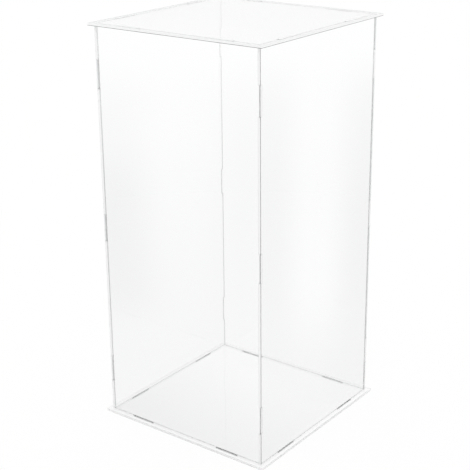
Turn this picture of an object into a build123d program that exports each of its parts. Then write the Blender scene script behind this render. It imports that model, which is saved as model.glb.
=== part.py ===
from build123d import *
import os

# Clear display case made of six laser-cut acrylic sheets that hold each other with tabs, slots and fingers.
# Millimetres, +Z up. The origin is the middle of the base plate's underside, and the front wall faces -Y.

# Overall sizes
plate_side = 250.0  # side of the square base plate and top plate
wall_height = 500.0  # of the walls, without their tabs: the space between the two plates
plate_overhang = 6.0  # how far both plates stand out past the walls, all round
wall_sheet = 3.0  # thickness of the four walls
base_sheet = 3.0  # thickness of the base plate
top_sheet = 3.0  # thickness of the top plate
plate_corner_radius = 1.0  # the plates' four corners are eased by this much

# Tabs on the upper and lower edges of the walls, which pass through the slots of the plates
tab_width = 32.0
tab_inset = 52.0  # from the case's outer corner to the middle of the nearest tab
tabs_per_edge = 2
tab_set_back = 0.2  # the tab ends stop this short of the plates' outer faces

# Fingers on the upright edges of the front and back walls, which pass through notches in the side walls
finger_height = 35.0
finger_inset = 58.0  # from a wall's upper or lower edge to the middle of the nearest finger
fingers_per_edge = 3

# What the laser takes away beside a joint
slot_clearance = 0.1  # on every side of a tab in its slot
notch_clearance = 0.1  # above, below and behind a finger in its notch

# Sizes that follow from those above
case_side = plate_side - 2 * plate_overhang
wall_bottom = base_sheet
wall_top = wall_bottom + wall_height
wall_middle = wall_bottom + wall_height / 2
case_height = wall_top + top_sheet
front_body_width = case_side - 2 * wall_sheet
wall_centre_line = (case_side - wall_sheet) / 2


def spread(first, last, count):
    """Evenly spaced places from first to last."""
    if count == 1:
        return [(first + last) / 2]
    return [first + (last - first) * index / (count - 1) for index in range(count)]


tab_places = spread(tab_inset - case_side / 2, case_side / 2 - tab_inset, tabs_per_edge)
finger_places = spread(wall_bottom + finger_inset, wall_top - finger_inset, fingers_per_edge)


def wall_tabs():
    """Strips that run up the wall and past both edges, so that their ends are the upper and lower tabs."""
    outlines = Sketch()
    for place in tab_places:
        outlines += Pos(place, case_height / 2) * Rectangle(tab_width, case_height - 2 * tab_set_back)
    return outlines


def stand_up(outline, outer_face, turn):
    """Raise a flat outline into a wall whose outer face is at outer_face, then turn it about the case's middle."""
    upright = Plane((0, -outer_face, 0), x_dir=(1, 0, 0), z_dir=(0, -1, 0))
    wall = extrude(upright * outline, -wall_sheet)
    return wall.rotate(Axis.Z, turn)


def fingered_wall(turn):
    """Front or back wall: it fits between the side walls and its fingers reach their outer faces."""
    outline = Pos(0, wall_middle) * Rectangle(front_body_width, wall_height)
    for place in finger_places:
        outline += Pos(0, place) * Rectangle(case_side, finger_height)
    outline += wall_tabs()
    return stand_up(outline, case_side / 2, turn)


def notched_wall(turn):
    """Side wall: it covers the corners, and its upright edges are notched for the fingers."""
    outline = Pos(0, wall_middle) * Rectangle(case_side, wall_height)
    notch_depth = wall_sheet + notch_clearance
    notch_height = finger_height + 2 * notch_clearance
    for place in finger_places:
        for side in (-1, 1):
            across = side * (case_side - notch_depth) / 2
            outline -= Pos(across, place) * Rectangle(notch_depth, notch_height)
    outline += wall_tabs()
    return stand_up(outline, case_side / 2, turn)


def slotted_plate(thickness):
    """Base or top plate, lying at z = 0, with a slot for every wall tab."""
    outline = RectangleRounded(plate_side, plate_side, plate_corner_radius)
    slot_length = tab_width + 2 * slot_clearance
    slot_width = wall_sheet + 2 * slot_clearance
    for place in tab_places:
        for side in (-1, 1):
            outline -= Pos(place, side * wall_centre_line) * Rectangle(slot_length, slot_width)
            outline -= Pos(side * wall_centre_line, place) * Rectangle(slot_width, slot_length)
    return extrude(outline, thickness)


parts = {
    "base_plate": slotted_plate(base_sheet),
    "front_panel": fingered_wall(0),
    "right_panel": notched_wall(90),
    "back_panel": fingered_wall(180),
    "left_panel": notched_wall(270),
    "top_plate": Pos(0, 0, wall_top) * slotted_plate(top_sheet),
}

os.makedirs("parts", exist_ok=True)
for name, shape in parts.items():
    shape.label = name
    export_step(shape, f"parts/{name}.step")
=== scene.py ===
import math

import bpy
from mathutils import Euler, Matrix, Vector


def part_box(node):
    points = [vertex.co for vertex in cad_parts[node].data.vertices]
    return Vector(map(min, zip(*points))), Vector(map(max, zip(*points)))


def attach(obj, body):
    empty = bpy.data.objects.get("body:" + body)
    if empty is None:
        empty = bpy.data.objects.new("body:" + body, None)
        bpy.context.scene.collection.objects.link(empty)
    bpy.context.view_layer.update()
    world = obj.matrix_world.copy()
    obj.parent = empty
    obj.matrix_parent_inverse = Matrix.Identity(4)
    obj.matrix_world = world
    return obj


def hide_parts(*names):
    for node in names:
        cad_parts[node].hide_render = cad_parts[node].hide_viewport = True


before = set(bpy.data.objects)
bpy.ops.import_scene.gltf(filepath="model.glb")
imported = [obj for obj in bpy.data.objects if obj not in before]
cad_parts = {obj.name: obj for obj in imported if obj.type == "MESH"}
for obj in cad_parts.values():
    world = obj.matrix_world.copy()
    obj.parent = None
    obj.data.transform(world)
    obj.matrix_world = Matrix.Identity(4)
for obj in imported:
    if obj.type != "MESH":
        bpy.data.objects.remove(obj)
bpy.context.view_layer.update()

# Base plate: a square of 3 mm cast acrylic that the case stands on. A laser cuts its outline and the eight
# slots that hold the walls' lower tabs. Its faces are polished, and its edges carry the beam's fine marks.

plate_low, plate_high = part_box("base_plate")
plate_side = plate_high.x - plate_low.x
plate_thickness = plate_high.z - plate_low.z
plate_corner_radius = 0.001
plate_corner_steps = 5
wall_low, wall_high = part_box("front_panel")
case_side = wall_high.x - wall_low.x
wall_thickness = wall_high.y - wall_low.y
tab_width = 0.032
tab_inset = 0.052
tabs_per_edge = 2
first_tab = tab_inset - case_side / 2
slot_clearance = 0.0001
base_ease = 0.0003
lid_ease = 0.0006
wall_ease = 0.0002
ease_segments = 2
sharp_from = math.radians(40)
flat_within = math.radians(0.5)
face_squareness = 0.9
weld_distance = 1e-6
acrylic_ior = 1.49
acrylic_tint = (0.997, 0.998, 0.998, 1.0)
acrylic_bulk_tint = (0.90, 0.94, 0.94, 1.0)
acrylic_bulk_density = 1.0
cut_edge_tone = (0.97, 0.97, 0.97, 1.0)
cut_transmission = 0.04
mirror_roughness = 0.22
striation_pitch = 0.0005
enclosed_mirror = 0.85
slot_glow = 0.8
# The dark and grey arris tones are painted shade: lines that stand in for the dark edges of clear sheets.
arris_painted_dark = (0.02, 0.021, 0.022, 1.0)
arris_painted_grey = (0.16, 0.164, 0.168, 1.0)
arris_pale_tone = (0.86, 0.865, 0.87, 1.0)


def new_tree(name, kind, inputs, outputs):
    """A node group: inputs are (name, socket type, default) and outputs are (name, socket type)."""
    tree = bpy.data.node_groups.new(name, kind)
    for label, socket_type, default in inputs:
        socket = tree.interface.new_socket(label, in_out="INPUT", socket_type=socket_type)
        if default is not None:
            socket.default_value = default
    for label, socket_type in outputs:
        tree.interface.new_socket(label, in_out="OUTPUT", socket_type=socket_type)
    return tree, tree.nodes.new("NodeGroupInput").outputs, tree.nodes.new("NodeGroupOutput").inputs


def put(tree, kind, inputs, **settings):
    """Adds a node with these settings. Each input, by name or number, gets a value or one or more links."""
    node = tree.nodes.new(kind)
    for label, value in settings.items():
        setattr(node, label, value)
    for key, value in inputs.items():
        for one in value if isinstance(value, list) else [value]:
            if isinstance(one, bpy.types.NodeSocket):
                tree.links.new(one, node.inputs[key])
            else:
                node.inputs[key].default_value = one
    return node.outputs


def row_of_blocks_group():
    """Geometry group: equal blocks, evenly spaced from First to Last."""
    tree, given, result = new_tree(
        "row of blocks",
        "GeometryNodeTree",
        [
            ("Count", "NodeSocketInt", 2),
            ("First", "NodeSocketVector", None),
            ("Last", "NodeSocketVector", None),
            ("Size", "NodeSocketVector", None),
        ],
        [("Blocks", "NodeSocketGeometry")],
    )
    line = put(
        tree, "GeometryNodeMeshLine",
        {"Count": given["Count"], "Start Location": given["First"], "Offset": given["Last"]},
        mode="END_POINTS",
    )
    block = put(tree, "GeometryNodeMeshCube", {"Size": given["Size"]})
    blocks = put(tree, "GeometryNodeInstanceOnPoints", {"Points": line["Mesh"], "Instance": block["Mesh"]})
    tree.links.new(blocks["Instances"], result["Blocks"])
    return tree


def two_finishes_group():
    """Geometry group: the faces square to Facing get one material, and the cut edges get the other."""
    tree, given, result = new_tree(
        "two finishes",
        "GeometryNodeTree",
        [
            ("Geometry", "NodeSocketGeometry", None),
            ("Facing", "NodeSocketVector", (0.0, 0.0, 1.0)),
            ("Face Material", "NodeSocketMaterial", None),
            ("Edge Material", "NodeSocketMaterial", None),
        ],
        [("Geometry", "NodeSocketGeometry")],
    )
    normal = put(tree, "GeometryNodeInputNormal", {})
    dot = put(
        tree, "ShaderNodeVectorMath",
        {0: normal["Normal"], 1: given["Facing"]},
        operation="DOT_PRODUCT",
    )
    squareness = put(tree, "ShaderNodeMath", {0: dot["Value"]}, operation="ABSOLUTE")
    is_edge = put(
        tree, "FunctionNodeCompare",
        {"A": squareness[0], "B": face_squareness},
        operation="LESS_THAN",
    )
    solid = put(tree, "GeometryNodeRealizeInstances", {"Geometry": given["Geometry"]})
    faced = put(
        tree, "GeometryNodeSetMaterial", {"Geometry": solid["Geometry"], "Material": given["Face Material"]}
    )
    edged = put(
        tree, "GeometryNodeSetMaterial",
        {"Geometry": faced["Geometry"], "Selection": is_edge["Result"], "Material": given["Edge Material"]},
    )
    tree.links.new(edged["Geometry"], result["Geometry"])
    return tree


row_of_blocks = row_of_blocks_group()
two_finishes = two_finishes_group()


def vector(tree, x=0.0, y=0.0, z=0.0):
    return put(tree, "ShaderNodeCombineXYZ", {"X": x, "Y": y, "Z": z})["Vector"]


def calc(tree, operation, a, b=0.0):
    return put(tree, "ShaderNodeMath", {0: a, 1: b}, operation=operation)["Value"]


def slotted_plate_tree():
    """A square plate with rounded corners and one row of slots along each side."""
    tree, given, result = new_tree(
        "slotted plate",
        "GeometryNodeTree",
        [
            ("Side", "NodeSocketFloat", 0.25),
            ("Thickness", "NodeSocketFloat", 0.003),
            ("Corner Radius", "NodeSocketFloat", 0.001),
            ("Underside", "NodeSocketFloat", 0.0),
            ("Slot Length", "NodeSocketFloat", 0.032),
            ("Slot Width", "NodeSocketFloat", 0.003),
            ("Slot Line", "NodeSocketFloat", 0.1165),
            ("First Slot", "NodeSocketFloat", -0.066),
            ("Slots Per Side", "NodeSocketInt", 2),
            ("Face Material", "NodeSocketMaterial", None),
            ("Edge Material", "NodeSocketMaterial", None),
        ],
        [("Geometry", "NodeSocketGeometry")],
    )
    square = put(
        tree, "GeometryNodeCurvePrimitiveQuadrilateral",
        {"Width": given["Side"], "Height": given["Side"]},
    )
    outline = put(
        tree, "GeometryNodeFilletCurve",
        {"Curve": square["Curve"], "Count": plate_corner_steps, "Radius": given["Corner Radius"]},
        mode="POLY",
    )
    floor = put(tree, "GeometryNodeFillCurve", {"Curve": outline["Curve"]}, mode="NGONS")
    raised = put(
        tree, "GeometryNodeExtrudeMesh",
        {"Mesh": floor["Mesh"], "Offset": vector(tree, 0.0, 0.0, 1.0), "Offset Scale": given["Thickness"]},
    )
    underside = put(tree, "GeometryNodeFlipFaces", {"Mesh": floor["Mesh"]})
    both = put(tree, "GeometryNodeJoinGeometry", {"Geometry": [underside["Mesh"], raised["Mesh"]]})
    blank = put(
        tree, "GeometryNodeMergeByDistance",
        {"Geometry": both["Geometry"], "Distance": weld_distance},
    )
    half_thickness = calc(tree, "MULTIPLY", given["Thickness"], 0.5)
    cut_height = calc(tree, "MULTIPLY", given["Thickness"], 2.0)
    last_slot = calc(tree, "MULTIPLY", given["First Slot"], -1.0)
    back_line = calc(tree, "MULTIPLY", given["Slot Line"], -1.0)
    slots = []
    for line in (given["Slot Line"], back_line):
        along_x = put(
            tree, "GeometryNodeGroup",
            {
                "Count": given["Slots Per Side"],
                "First": vector(tree, given["First Slot"], line, half_thickness),
                "Last": vector(tree, last_slot, line, half_thickness),
                "Size": vector(tree, given["Slot Length"], given["Slot Width"], cut_height),
            },
            node_tree=row_of_blocks,
        )
        along_y = put(
            tree, "GeometryNodeGroup",
            {
                "Count": given["Slots Per Side"],
                "First": vector(tree, line, given["First Slot"], half_thickness),
                "Last": vector(tree, line, last_slot, half_thickness),
                "Size": vector(tree, given["Slot Width"], given["Slot Length"], cut_height),
            },
            node_tree=row_of_blocks,
        )
        slots += [along_x["Blocks"], along_y["Blocks"]]
    cut = put(
        tree, "GeometryNodeMeshBoolean",
        {"Mesh 1": blank["Geometry"], "Mesh 2": slots},
        operation="DIFFERENCE", solver="EXACT",
    )
    placed = put(
        tree, "GeometryNodeTransform",
        {"Geometry": cut["Mesh"], "Translation": vector(tree, 0.0, 0.0, given["Underside"])},
    )
    finished = put(
        tree, "GeometryNodeGroup",
        {
            "Geometry": placed["Geometry"],
            "Facing": (0.0, 0.0, 1.0),
            "Face Material": given["Face Material"],
            "Edge Material": given["Edge Material"],
        },
        node_tree=two_finishes,
    )
    tree.links.new(finished["Geometry"], result["Geometry"])
    return tree


def keep_result(thing):
    """Makes what the object's modifiers show its own plain mesh."""
    evaluated = thing.evaluated_get(bpy.context.evaluated_depsgraph_get())
    mesh = bpy.data.meshes.new_from_object(evaluated)
    thing.modifiers.clear()
    thing.data = mesh
    mesh.name = thing.name
    return mesh


def cut_sheet(name, tree, sizes, arris, width):
    """Runs a sheet's rule with these sizes, eases its sharp edges and keeps the result as a plain mesh."""
    sheet = bpy.data.objects.new(name, bpy.data.meshes.new(name))
    bpy.context.scene.collection.objects.link(sheet)
    rule = sheet.modifiers.new("rule", "NODES")
    rule.node_group = tree
    for socket in tree.interface.items_tree:
        if socket.in_out == "INPUT" and socket.name in sizes:
            rule[socket.identifier] = sizes[socket.name]
    tidy = sheet.modifiers.new("tidy", "DECIMATE")
    tidy.decimate_type = "DISSOLVE"
    tidy.angle_limit = flat_within
    mesh = keep_result(sheet)
    while None in list(mesh.materials):
        mesh.materials.pop(index=list(mesh.materials).index(None))
    mesh.materials.append(arris)
    ease = sheet.modifiers.new("ease", "BEVEL")
    ease.width = width
    ease.segments = ease_segments
    ease.limit_method = "ANGLE"
    ease.angle_limit = sharp_from
    ease.use_clamp_overlap = False
    ease.material = len(mesh.materials) - 1
    keep_result(sheet)
    return sheet


def cast_waviness_group():
    """Shader group: the slow waves that casting leaves in a face, and a faint, patchy change of gloss."""
    tree, given, result = new_tree(
        "cast waviness",
        "ShaderNodeTree",
        [("Wave Scale", "NodeSocketFloat", 6.0), ("Film Scale", "NodeSocketFloat", 18.0)],
        [("Height", "NodeSocketFloat"), ("Film", "NodeSocketFloat")],
    )
    place = put(tree, "ShaderNodeTexCoord", {})["Object"]
    waves = put(tree, "ShaderNodeTexNoise", {"Vector": place, "Scale": given["Wave Scale"], "Detail": 1.0})
    film = put(tree, "ShaderNodeTexNoise", {"Vector": place, "Scale": given["Film Scale"], "Detail": 4.0})
    tree.links.new(waves["Fac"], result["Height"])
    tree.links.new(film["Fac"], result["Film"])
    return tree


def laser_striation_group():
    """Shader group: fine ridges that the beam leaves across a cut edge, through the sheet's thickness."""
    tree, given, result = new_tree(
        "laser striation",
        "ShaderNodeTree",
        [("Through", "NodeSocketVector", (0.0, 0.0, 1.0)), ("Pitch", "NodeSocketFloat", 0.0004)],
        [("Height", "NodeSocketFloat"), ("Frost", "NodeSocketFloat")],
    )
    place = put(tree, "ShaderNodeTexCoord", {})["Object"]
    along = put(
        tree, "ShaderNodeVectorMath",
        {0: (1.0, 1.0, 1.0), 1: given["Through"]},
        operation="SUBTRACT",
    )
    kept = put(tree, "ShaderNodeVectorMath", {0: place, 1: along["Vector"]}, operation="MULTIPLY")
    lines_per_metre = calc(tree, "DIVIDE", 1.0, given["Pitch"])
    ridges = put(
        tree, "ShaderNodeTexNoise",
        {"Vector": kept["Vector"], "Scale": lines_per_metre, "Detail": 2.0},
    )
    frost = put(tree, "ShaderNodeTexNoise", {"Vector": place, "Scale": 90.0, "Detail": 3.0})
    tree.links.new(ridges["Fac"], result["Height"])
    tree.links.new(frost["Fac"], result["Frost"])
    return tree


cast_waviness = cast_waviness_group()
laser_striation = laser_striation_group()


def new_material(name):
    """An empty node material and its output node."""
    material = bpy.data.materials.new(name)
    material.use_nodes = True
    material.node_tree.nodes.clear()
    return material, material.node_tree, material.node_tree.nodes.new("ShaderNodeOutputMaterial").inputs


def bulk_acrylic(tree, output):
    """The sheet takes a little light along a long way through it, which is what draws its edges."""
    bulk = put(
        tree, "ShaderNodeVolumeAbsorption", {"Color": acrylic_bulk_tint, "Density": acrylic_bulk_density}
    )
    tree.links.new(bulk["Volume"], output["Volume"])


def clear_face_material():
    """Polished face of the cast sheet: clear, glossy and very slightly wavy."""
    material, tree, output = new_material("clear_face")
    cast = put(tree, "ShaderNodeGroup", {"Wave Scale": 5.0, "Film Scale": 20.0}, node_tree=cast_waviness)
    roughness = put(
        tree, "ShaderNodeMapRange",
        {"Value": cast["Film"], "From Min": 0.45, "From Max": 0.8, "To Min": 0.0, "To Max": 0.02},
    )
    bump = put(tree, "ShaderNodeBump", {"Height": cast["Height"], "Strength": 0.2, "Distance": 0.0006})
    surface = put(
        tree, "ShaderNodeBsdfPrincipled",
        {
            "Base Color": acrylic_tint,
            "Roughness": roughness["Result"],
            "IOR": acrylic_ior,
            "Transmission Weight": 1.0,
            "Normal": bump["Normal"],
        },
    )
    tree.links.new(surface["BSDF"], output["Surface"])
    bulk_acrylic(tree, output)
    return material


def frosted_skin(tree, output, outside, tone, mirrored):
    """A cut surface. From within the sheet it mirrors by the share mirrored, and else lets light through."""
    glow = put(tree, "ShaderNodeBsdfTranslucent", {"Color": tone})
    mirror = put(tree, "ShaderNodeBsdfAnisotropic", {"Color": tone, "Roughness": mirror_roughness})
    inside = put(tree, "ShaderNodeMixShader", {0: mirrored, 1: glow["BSDF"], 2: mirror["BSDF"]})
    facing = put(tree, "ShaderNodeNewGeometry", {})
    both = put(tree, "ShaderNodeMixShader", {0: facing["Backfacing"], 1: outside, 2: inside["Shader"]})
    tree.links.new(both["Shader"], output["Surface"])


def side_reaches(tree, place):
    """How far a place lies from the middle plane, to the side and to the front or back."""
    parts = put(tree, "ShaderNodeSeparateXYZ", {"Vector": place})
    return calc(tree, "ABSOLUTE", parts["X"]), calc(tree, "ABSOLUTE", parts["Y"])


def cut_edge_material(name, through, outer_reach, enclosed_glow=0.0):
    """Laser-cut edge: frosted white, with ridges that run through the sheet.

    Edges within outer_reach face another sheet. From inside their own sheet they mirror more than they let
    through, and enclosed_glow is the share of light that they let in from outside."""
    material, tree, output = new_material(name)
    cut = put(
        tree, "ShaderNodeGroup",
        {"Through": through, "Pitch": striation_pitch},
        node_tree=laser_striation,
    )
    roughness = put(
        tree, "ShaderNodeMapRange",
        {"Value": cut["Frost"], "From Min": 0.3, "From Max": 0.7, "To Min": 0.12, "To Max": 0.3},
    )
    bump = put(tree, "ShaderNodeBump", {"Height": cut["Height"], "Strength": 0.35, "Distance": 0.00005})
    surface = put(
        tree, "ShaderNodeBsdfPrincipled",
        {
            "Base Color": cut_edge_tone,
            "Roughness": roughness["Result"],
            "IOR": acrylic_ior,
            "Transmission Weight": cut_transmission,
            "Normal": bump["Normal"],
        },
    )
    sideways, forwards = side_reaches(tree, put(tree, "ShaderNodeTexCoord", {})["Object"])
    enclosed = calc(tree, "LESS_THAN", calc(tree, "MAXIMUM", sideways, forwards), outer_reach)
    mirrored = calc(tree, "MULTIPLY", enclosed, enclosed_mirror)
    let_in = put(tree, "ShaderNodeBsdfTranslucent", {"Color": cut_edge_tone})
    share = calc(tree, "MULTIPLY", enclosed, enclosed_glow)
    outside = put(tree, "ShaderNodeMixShader", {0: share, 1: surface["BSDF"], 2: let_in["BSDF"]})
    frosted_skin(tree, output, outside["Shader"], cut_edge_tone, mirrored)
    bulk_acrylic(tree, output)
    return material


def arris_material(name, line):
    """The rounded line where a cut edge meets a face: painted shade in dark grey where line gives 1, and
    pale elsewhere.
    """
    material, tree, output = new_material(name)
    coordinates = put(tree, "ShaderNodeTexCoord", {})
    place = coordinates["Object"]
    # Painted shade: patches of dark and grey, mixed onto the arris where the line mask gives 1.
    painted_line_noise = put(tree, "ShaderNodeTexNoise", {"Vector": place, "Scale": 14.0, "Detail": 3.0})
    painted_line_patches = put(tree, "ShaderNodeMapRange", {"Value": painted_line_noise["Fac"], "From Min": 0.35, "From Max": 0.65})
    grey = put(
        tree, "ShaderNodeMix",
        {"Factor": painted_line_patches["Result"], 6: arris_painted_dark, 7: arris_painted_grey},
        data_type="RGBA",
    )[2]
    tone = put(
        tree, "ShaderNodeMix",
        {"Factor": line(tree, place, coordinates["Normal"]), 6: arris_pale_tone, 7: grey},
        data_type="RGBA",
    )[2]
    surface = put(
        tree, "ShaderNodeBsdfPrincipled",
        {
            "Base Color": tone,
            "Roughness": 0.25,
            "IOR": acrylic_ior,
            "Transmission Weight": cut_transmission,
        },
    )
    frosted_skin(tree, output, surface["BSDF"], tone, 0.0)
    bulk_acrylic(tree, output)
    return material


def plate_rim_painted_shade(tree, place, normal):
    """A plate's outer lower, downward-facing arris, where the shade line is painted; the upper arris stays
    pale.
    """
    sideways, forwards = side_reaches(tree, place)
    farthest = calc(tree, "MAXIMUM", sideways, forwards)
    at_rim = calc(tree, "GREATER_THAN", farthest, plate_side / 2 - 2 * lid_ease)
    slope = put(tree, "ShaderNodeSeparateXYZ", {"Vector": normal})["Z"]
    return calc(tree, "MULTIPLY", at_rim, calc(tree, "LESS_THAN", slope, 0.0))


def case_corner_painted_shade(tree, place, normal):
    """The case's four upright outer corners, where the shade line is painted."""
    sideways, forwards = side_reaches(tree, place)
    both = calc(tree, "ADD", sideways, forwards)
    return calc(tree, "GREATER_THAN", both, case_side - 3 * wall_ease)


clear_face = clear_face_material()
plate_edge = cut_edge_material("plate_edge", (0.0, 0.0, 1.0), plate_side / 2 - lid_ease, slot_glow)
plate_arris = arris_material("plate_arris", plate_rim_painted_shade)
wall_arris = arris_material("wall_arris", case_corner_painted_shade)
slotted_plate = slotted_plate_tree()
plate_sizes = {
    "Side": plate_side,
    "Thickness": plate_thickness,
    "Corner Radius": plate_corner_radius,
    "Slot Length": tab_width + 2 * slot_clearance,
    "Slot Width": wall_thickness + 2 * slot_clearance,
    "Slot Line": (case_side - wall_thickness) / 2,
    "First Slot": first_tab,
    "Slots Per Side": tabs_per_edge,
    "Face Material": clear_face,
    "Edge Material": plate_edge,
}

base_sizes = {**plate_sizes, "Underside": plate_low.z}
base_sheet = cut_sheet("base_sheet", slotted_plate, base_sizes, plate_arris, base_ease)
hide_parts("base_plate")
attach(base_sheet, "base")

# Front and back walls: clear sheets that stand between the side walls on the base plate. Two tabs below and
# two above go into the plates' slots, and three fingers on each upright edge into the side walls' notches.

resting_gap = 0.00004
finger_height = 0.035
finger_inset = 0.058
fingers_per_edge = 3
lid_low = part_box("top_plate")[0]
wall_foot = plate_high.z + resting_gap
wall_head = lid_low.z - resting_gap
first_finger = plate_high.z + finger_inset
last_finger = lid_low.z - finger_inset


def wall_tree(name, with_fingers):
    """A wall drawn flat, x across and y up, with its outer face at z = 0, then stood up and turned."""
    tree, given, result = new_tree(
        name,
        "GeometryNodeTree",
        [
            ("Body Width", "NodeSocketFloat", 0.23),
            ("Foot", "NodeSocketFloat", 0.003),
            ("Head", "NodeSocketFloat", 0.497),
            ("Thickness", "NodeSocketFloat", 0.003),
            ("Tab Width", "NodeSocketFloat", 0.032),
            ("Tab Foot", "NodeSocketFloat", 0.0002),
            ("Tab Head", "NodeSocketFloat", 0.4998),
            ("First Tab", "NodeSocketFloat", -0.066),
            ("Tabs Per Edge", "NodeSocketInt", 2),
            ("Joint Height", "NodeSocketFloat", 0.035),
            ("Joint Reach", "NodeSocketFloat", 0.003),
            ("First Joint", "NodeSocketFloat", 0.06),
            ("Last Joint", "NodeSocketFloat", 0.44),
            ("Joints Per Edge", "NodeSocketInt", 3),
            ("Turn", "NodeSocketRotation", None),
            ("Place", "NodeSocketVector", None),
            ("Facing", "NodeSocketVector", (0.0, 1.0, 0.0)),
            ("Face Material", "NodeSocketMaterial", None),
            ("Edge Material", "NodeSocketMaterial", None),
        ],
        [("Geometry", "NodeSocketGeometry")],
    )
    depth = calc(tree, "MULTIPLY", given["Thickness"], -0.5)

    def middle(low, high):
        return calc(tree, "MULTIPLY", calc(tree, "ADD", low, high), 0.5)

    body_height = calc(tree, "SUBTRACT", given["Head"], given["Foot"])
    body_size = vector(tree, given["Body Width"], body_height, given["Thickness"])
    body_block = put(tree, "GeometryNodeMeshCube", {"Size": body_size})
    body_place = vector(tree, 0.0, middle(given["Foot"], given["Head"]), depth)
    body = put(
        tree, "GeometryNodeTransform",
        {"Geometry": body_block["Mesh"], "Translation": body_place},
    )
    strip_height = calc(tree, "SUBTRACT", given["Tab Head"], given["Tab Foot"])
    strip_middle = middle(given["Tab Foot"], given["Tab Head"])
    last_tab = calc(tree, "MULTIPLY", given["First Tab"], -1.0)
    strips = put(
        tree, "GeometryNodeGroup",
        {
            "Count": given["Tabs Per Edge"],
            "First": vector(tree, given["First Tab"], strip_middle, depth),
            "Last": vector(tree, last_tab, strip_middle, depth),
            "Size": vector(tree, given["Tab Width"], strip_height, given["Thickness"]),
        },
        node_tree=row_of_blocks,
    )
    both_reaches = calc(tree, "MULTIPLY", given["Joint Reach"], 2.0)
    added = [body["Geometry"], strips["Blocks"]]
    removed = []
    if with_fingers:
        across = calc(tree, "ADD", given["Body Width"], both_reaches)
        fingers = put(
            tree, "GeometryNodeGroup",
            {
                "Count": given["Joints Per Edge"],
                "First": vector(tree, 0.0, given["First Joint"], depth),
                "Last": vector(tree, 0.0, given["Last Joint"], depth),
                "Size": vector(tree, across, given["Joint Height"], given["Thickness"]),
            },
            node_tree=row_of_blocks,
        )
        added.append(fingers["Blocks"])
    else:
        notch_thickness = calc(tree, "MULTIPLY", given["Thickness"], 2.0)
        for side in (-0.5, 0.5):
            edge = calc(tree, "MULTIPLY", given["Body Width"], side)
            notches = put(
                tree, "GeometryNodeGroup",
                {
                    "Count": given["Joints Per Edge"],
                    "First": vector(tree, edge, given["First Joint"], depth),
                    "Last": vector(tree, edge, given["Last Joint"], depth),
                    "Size": vector(tree, both_reaches, given["Joint Height"], notch_thickness),
                },
                node_tree=row_of_blocks,
            )
            removed.append(notches["Blocks"])
    sheet = put(
        tree, "GeometryNodeMeshBoolean", {"Mesh 2": added},
        operation="UNION", solver="EXACT",
    )["Mesh"]
    if removed:
        sheet = put(
            tree, "GeometryNodeMeshBoolean", {"Mesh 1": sheet, "Mesh 2": removed},
            operation="DIFFERENCE", solver="EXACT",
        )["Mesh"]
    stood = put(
        tree, "GeometryNodeTransform",
        {"Geometry": sheet, "Rotation": given["Turn"], "Translation": given["Place"]},
    )
    finished = put(
        tree, "GeometryNodeGroup",
        {
            "Geometry": stood["Geometry"],
            "Facing": given["Facing"],
            "Face Material": given["Face Material"],
            "Edge Material": given["Edge Material"],
        },
        node_tree=two_finishes,
    )
    tree.links.new(finished["Geometry"], result["Geometry"])
    return tree


def stood_up(turn_degrees):
    """How a flat-drawn wall is turned and placed to stand on its side of the case."""
    turn = math.radians(turn_degrees)
    outward = Vector((math.sin(turn), -math.cos(turn), 0.0))
    return {
        "Turn": Euler((math.pi / 2, 0.0, turn)),
        "Place": outward * case_side / 2,
        "Facing": outward,
    }


front_back_edge = cut_edge_material("front_back_edge", (0.0, 1.0, 0.0), case_side / 2 - wall_ease)
fingered_wall = wall_tree("fingered wall", with_fingers=True)
wall_sizes = {
    "Foot": wall_foot,
    "Head": wall_head,
    "Thickness": wall_thickness,
    "Tab Width": tab_width,
    "Tab Foot": wall_low.z,
    "Tab Head": wall_high.z,
    "First Tab": first_tab,
    "Tabs Per Edge": tabs_per_edge,
    "First Joint": first_finger,
    "Last Joint": last_finger,
    "Joints Per Edge": fingers_per_edge,
    "Face Material": clear_face,
}
fingered_sizes = {
    **wall_sizes,
    "Body Width": case_side - 2 * wall_thickness - 2 * resting_gap,
    "Joint Height": finger_height,
    "Joint Reach": wall_thickness + resting_gap,
    "Edge Material": front_back_edge,
}

for name, node, turn_degrees in (("front_sheet", "front_panel", 0), ("back_sheet", "back_panel", 180)):
    sizes = {**fingered_sizes, **stood_up(turn_degrees)}
    sheet = cut_sheet(name, fingered_wall, sizes, wall_arris, wall_ease)
    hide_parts(node)
    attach(sheet, "walls")

# Side walls: clear sheets that cover the corners of the case. Their upright edges are notched where the
# fingers of the front and back walls come through, and they have the same tabs above and below.

notch_clearance = 0.0001
side_edge = cut_edge_material("side_edge", (1.0, 0.0, 0.0), case_side / 2 - wall_ease)
notched_wall = wall_tree("notched wall", with_fingers=False)
notched_sizes = {
    **wall_sizes,
    "Body Width": case_side,
    "Joint Height": finger_height + 2 * notch_clearance,
    "Joint Reach": wall_thickness + notch_clearance,
    "Edge Material": side_edge,
}

for name, node, turn_degrees in (("right_sheet", "right_panel", 90), ("left_sheet", "left_panel", 270)):
    sizes = {**notched_sizes, **stood_up(turn_degrees)}
    sheet = cut_sheet(name, notched_wall, sizes, wall_arris, wall_ease)
    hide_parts(node)
    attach(sheet, "walls")

# Lid: the same slotted square of 3 mm cast acrylic as the base plate. It drops over the walls' upper tabs
# and lifts straight off.

lid_sizes = {**plate_sizes, "Underside": lid_low.z}
lid_sheet = cut_sheet("lid_sheet", slotted_plate, lid_sizes, plate_arris, lid_ease)
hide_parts("top_plate")
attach(lid_sheet, "lid")

# Table and backdrop: one wide white floor and a white surround. Seen straight or through the sheets, the
# floor is plain white with a light painted shadow under the case. In their reflections it is painted grey
# out to about 2 m, with one dark and two bright strips, a painted reflection which makes clear walls visible
# on white.

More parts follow.
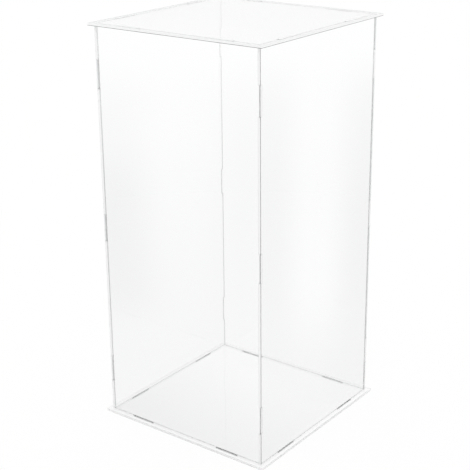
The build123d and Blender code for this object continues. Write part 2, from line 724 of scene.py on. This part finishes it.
floor_radius = 6.0
floor_sides = 96
floor_drop = 0.0002
floor_paint = (0.9, 0.9, 0.9, 1.0)
shade_towards = (0.25, 0.97, 0.0)
shade_from = -0.157
shade_until = 0.046
deepest_shade = 0.13
shade_margin = 0.01
any_bounce = 0.5
inner_passes = 3.5
reflected_radius = 3.0
outer_tones = [(0.05, 0.66), (0.25, 0.60), (0.5, 0.66), (0.9, 1.0)]
inner_tones = [(0.05, 0.72), (0.25, 0.70), (0.45, 0.85), (0.75, 1.0)]
dark_strip = {
    "start": (0.0212, 0.0, 0.0),
    "turn_degrees": 226.95,
    "half_width": 0.03,
    "spread": 0.055,
    "reach": (0.4, 0.62, 1.0, 1.6),
}
dark_strip_depth = 0.55
left_bright_strip = {
    "start": (0.104, 0.0, 0.0),
    "turn_degrees": 230.0,
    "half_width": 0.035,
    "spread": 0.045,
    "reach": (0.1, 1.3, 9.0, 10.0),
}
right_bright_strip = {
    "start": (0.127, 0.0, 0.0),
    "turn_degrees": 57.2,
    "half_width": 0.03,
    "spread": 0.03,
    "reach": (0.05, 0.5, 9.0, 10.0),
}
strip_edge = 1.6
strip_core = 0.2
glow_near = 0.2
glow_far = 0.9
glow_share_near = 0.97
white = (1.0, 1.0, 1.0, 1.0)
sheen_tone = (0.93, 0.93, 0.93, 1.0)
softbox_height = 2.2
softbox_side = 2.0
softbox_power = 6.0


def ramp(tree, value, stops):
    """A colour ramp in greys: stops are (place, tone)."""
    node = tree.nodes.new("ShaderNodeValToRGB")
    tree.links.new(value, node.inputs["Fac"])
    elements = node.color_ramp.elements
    while len(elements) < len(stops):
        elements.new(0.5)
    for element, (place, tone) in zip(elements, stops):
        element.position = place
        element.color = (tone, tone, tone, 1.0)
    node.color_ramp.interpolation = "EASE"
    return node.outputs["Color"]


def fade(tree, value, nothing, full):
    """Smooth step from 0 where the value is at nothing to 1 where it is at full."""
    low, high = min(nothing, full), max(nothing, full)
    ends = (0.0, 1.0) if full > nothing else (1.0, 0.0)
    return put(
        tree, "ShaderNodeMapRange",
        {"Value": value, "From Min": low, "From Max": high, "To Min": ends[0], "To Max": ends[1]},
        interpolation_type="SMOOTHSTEP",
    )["Result"]


def strip(tree, place, start, turn_degrees, half_width, spread, reach):
    """Mask of a strip of floor that runs from start at a turn, widens, and fades in and out along reach."""
    turned = put(
        tree, "ShaderNodeMapping",
        {"Vector": place, "Location": start, "Rotation": (0.0, 0.0, math.radians(turn_degrees))},
        vector_type="TEXTURE",
    )["Vector"]
    parts = put(tree, "ShaderNodeSeparateXYZ", {"Vector": turned})
    width = calc(tree, "ADD", calc(tree, "MULTIPLY", parts["X"], spread), half_width)
    across = calc(tree, "DIVIDE", calc(tree, "ABSOLUTE", parts["Y"]), width)
    begins, full, fades, gone = reach
    mask = fade(tree, across, strip_edge, strip_core)
    mask = calc(tree, "MULTIPLY", mask, fade(tree, parts["X"], begins, full))
    return calc(tree, "MULTIPLY", mask, fade(tree, parts["X"], gone, fades))


def blend(tree, share, first, second):
    """first where share is 0, second where it is 1."""
    kept = calc(tree, "MULTIPLY", first, calc(tree, "SUBTRACT", 1.0, share))
    return calc(tree, "ADD", kept, calc(tree, "MULTIPLY", share, second))


def floor_material():
    """White floor with a painted shadow under the case where it is seen, and painted grey with strips where
    mirrored.
    """
    material, tree, output = new_material("white_floor")
    surface = put(
        tree, "ShaderNodeBsdfPrincipled",
        {"Base Color": floor_paint, "Roughness": 0.8, "Specular IOR Level": 0.0},
    )
    place = put(tree, "ShaderNodeTexCoord", {})["Object"]
    reach = put(tree, "ShaderNodeVectorMath", {0: place}, operation="LENGTH")["Value"]
    path = put(tree, "ShaderNodeLightPath", {})
    mirrored = calc(tree, "GREATER_THAN", path["Glossy Depth"], any_bounce)
    inner = calc(tree, "GREATER_THAN", path["Transmission Depth"], inner_passes)
    # Painted shadow: the glow is darkened under the case, most towards its front.
    towards = put(
        tree, "ShaderNodeVectorMath",
        {0: place, 1: shade_towards},
        operation="DOT_PRODUCT",
    )["Value"]
    shade = put(
        tree, "ShaderNodeMapRange",
        {
            "Value": towards,
            "From Min": shade_from,
            "From Max": shade_until,
            "To Min": deepest_shade,
            "To Max": 0.0,
        },
    )["Result"]
    sideways, forwards = side_reaches(tree, place)
    side_reach = calc(tree, "MAXIMUM", sideways, forwards)
    under = fade(tree, side_reach, plate_side / 2, plate_side / 2 - shade_margin)
    straight = calc(tree, "SUBTRACT", 1.0, calc(tree, "MULTIPLY", shade, under))
    # Painted reflection: only mirrored rays see these grey tones and the dark and bright strips.
    outer_tone = ramp(tree, calc(tree, "DIVIDE", reach, reflected_radius), outer_tones)
    inner_tone = ramp(tree, calc(tree, "DIVIDE", reach, reflected_radius), inner_tones)
    dark = calc(tree, "MULTIPLY", strip(tree, place, **dark_strip), dark_strip_depth)
    outer_tone = calc(tree, "MULTIPLY", outer_tone, calc(tree, "SUBTRACT", 1.0, dark))
    bright = calc(
        tree, "MAXIMUM",
        strip(tree, place, **left_bright_strip),
        strip(tree, place, **right_bright_strip),
    )
    outer_tone = blend(tree, bright, outer_tone, 1.0)
    tone = blend(tree, mirrored, straight, blend(tree, inner, outer_tone, inner_tone))
    glow = put(tree, "ShaderNodeEmission", {"Color": tone, "Strength": 1.0})
    far = put(
        tree, "ShaderNodeMapRange",
        {
            "Value": reach,
            "From Min": glow_near,
            "From Max": glow_far,
            "To Min": glow_share_near,
            "To Max": 1.0,
        },
    )["Result"]
    seen = calc(
        tree, "MAXIMUM", path["Is Camera Ray"],
        calc(tree, "MAXIMUM", path["Is Glossy Ray"], path["Is Transmission Ray"]),
    )
    share = calc(tree, "MULTIPLY", seen, far)
    mixed = put(tree, "ShaderNodeMixShader", {0: share, 1: surface["BSDF"], 2: glow["Emission"]})
    tree.links.new(mixed["Shader"], output["Surface"])
    return material


bpy.ops.mesh.primitive_circle_add(
    vertices=floor_sides, radius=floor_radius, fill_type="NGON", location=(0.0, 0.0, 0.0)
)
floor = bpy.context.object
floor.name = "floor"
floor.data.transform(Matrix.Translation((0.0, 0.0, -floor_drop)))
floor.data.materials.append(floor_material())


def white_surround():
    """White all round, with a painted reflection: a little greyer where the sheets' outer faces mirror it.
    """
    world = bpy.data.worlds.new("white_surround")
    world.use_nodes = True
    tree = world.node_tree
    tree.nodes.clear()
    output = tree.nodes.new("ShaderNodeOutputWorld").inputs
    path = put(tree, "ShaderNodeLightPath", {})
    direct = calc(tree, "LESS_THAN", path["Transmission Depth"], any_bounce)
    mirrored = calc(tree, "MULTIPLY", path["Is Glossy Ray"], direct)
    shown = put(tree, "ShaderNodeBackground", {"Color": white, "Strength": 1.0})
    sheen = put(tree, "ShaderNodeBackground", {"Color": sheen_tone, "Strength": 1.0})
    mixed = put(tree, "ShaderNodeMixShader", {0: mirrored, 1: shown["Background"], 2: sheen["Background"]})
    tree.links.new(mixed["Shader"], output["Surface"])
    bpy.context.scene.world = world


white_surround()


def softbox(name, place, aim, width, depth, power):
    """A soft rectangular lamp at place that shines towards aim."""
    lamp = bpy.data.lights.new(name, "AREA")
    lamp.shape = "RECTANGLE"
    lamp.size = width
    lamp.size_y = depth
    lamp.energy = power
    holder = bpy.data.objects.new(name, lamp)
    bpy.context.scene.collection.objects.link(holder)
    holder.location = place
    holder.rotation_euler = (Vector(aim) - Vector(place)).to_track_quat("-Z", "Y").to_euler()


softbox(
    "overhead_softbox",
    (0.0, 0.0, softbox_height),
    (0.0, 0.0, 0.0),
    softbox_side,
    softbox_side,
    softbox_power,
)

# Camera: a long lens 1.5 m away, to the right of the front and a little above the lid. The lens is shifted
# by ten pixels, because the photograph's uprights converge less than a level crop shows.

photo_side = 470
focal_pixels = 1152.7
axis_row = 224.5
sensor_width = 36.0
nearest_seen = 0.01
azimuth = math.radians(37.315)
elevation = math.radians(19.705)
roll = math.radians(-0.571)
distance = 1.5290
sideways = 0.00796
upwards = -0.23214
level_share = math.cos(elevation)
back = Vector((math.sin(azimuth) * level_share, -math.cos(azimuth) * level_share, math.sin(elevation)))
right = Vector((math.cos(azimuth), math.sin(azimuth), 0.0))
up = back.cross(right)
level = Matrix((right, up, back)).transposed()
turned = level @ Matrix.Rotation(roll, 3, "Z")
lens = bpy.data.cameras.new("camera")
lens.sensor_width = sensor_width
lens.lens = focal_pixels / photo_side * lens.sensor_width
lens.shift_y = (axis_row - (photo_side - 1) / 2) / photo_side
lens.clip_start = nearest_seen
camera = bpy.data.objects.new("camera", lens)
bpy.context.scene.collection.objects.link(camera)
camera_place = -(turned @ Vector((sideways, upwards, -distance)))
camera.matrix_world = Matrix.Translation(camera_place) @ turned.to_4x4()
bpy.context.scene.camera = camera
bpy.context.scene.view_settings.view_transform = "Standard"
